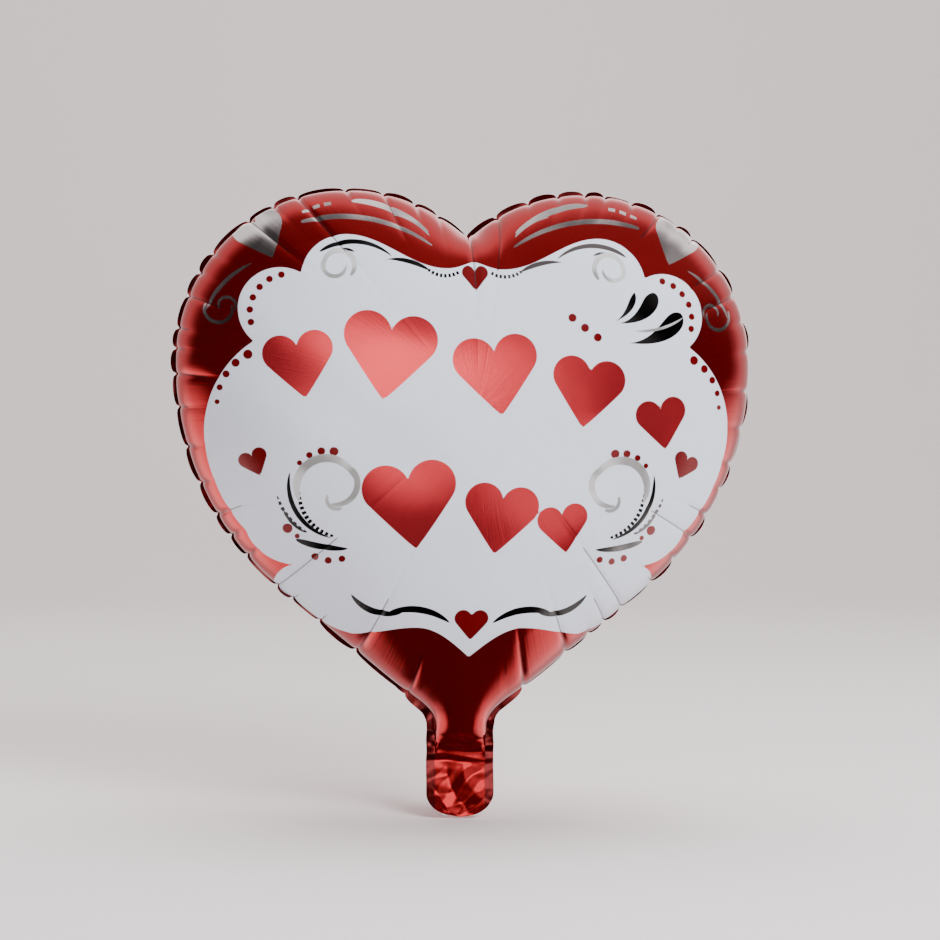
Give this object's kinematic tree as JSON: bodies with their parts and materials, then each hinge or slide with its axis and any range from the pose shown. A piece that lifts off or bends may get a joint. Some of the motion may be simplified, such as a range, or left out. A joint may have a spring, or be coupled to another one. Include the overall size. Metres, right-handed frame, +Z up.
{
  "type": "heart foil balloon",
  "caption": "Inflated heart-shaped red foil balloon with a white ornamental panel, crimped heat-sealed hem, neck and folded valve tail.",
  "frame": {"origin": "the neck's tie point, in the balloon's mid plane", "axes": "+Z up from the neck to the lobes, printed front facing -Y, +X to the viewer's right"},
  "size_m": [0.382, 0.1724, 0.4111],
  "materials": {
    "red_foil": "mirror-like metallised film printed in transparent red, with white and bare silver ornament",
    "heat_seal": "fused sealant between the films",
    "valve_film": "clear thin film, slightly hazy"
  },
  "bodies": {
    "balloon": {"front_panel": "red_foil", "back_panel": "red_foil", "seam_weld": "heat_seal", "valve_front": "valve_film", "valve_back": "valve_film"},
    "tail": {"tail_front": "red_foil", "tail_back": "red_foil", "tail_weld_left": "heat_seal", "tail_weld_right": "heat_seal", "valve_mouth_front": "valve_film", "valve_mouth_back": "valve_film"}
  },
  "joints": [
    {"name": "tail_fold", "type": "hinge", "parent": "balloon", "child": "tail", "pos_m": [0, 0, -0.018], "axis": [1, 0, 0], "range_deg": [-76, 104]}
  ]
}
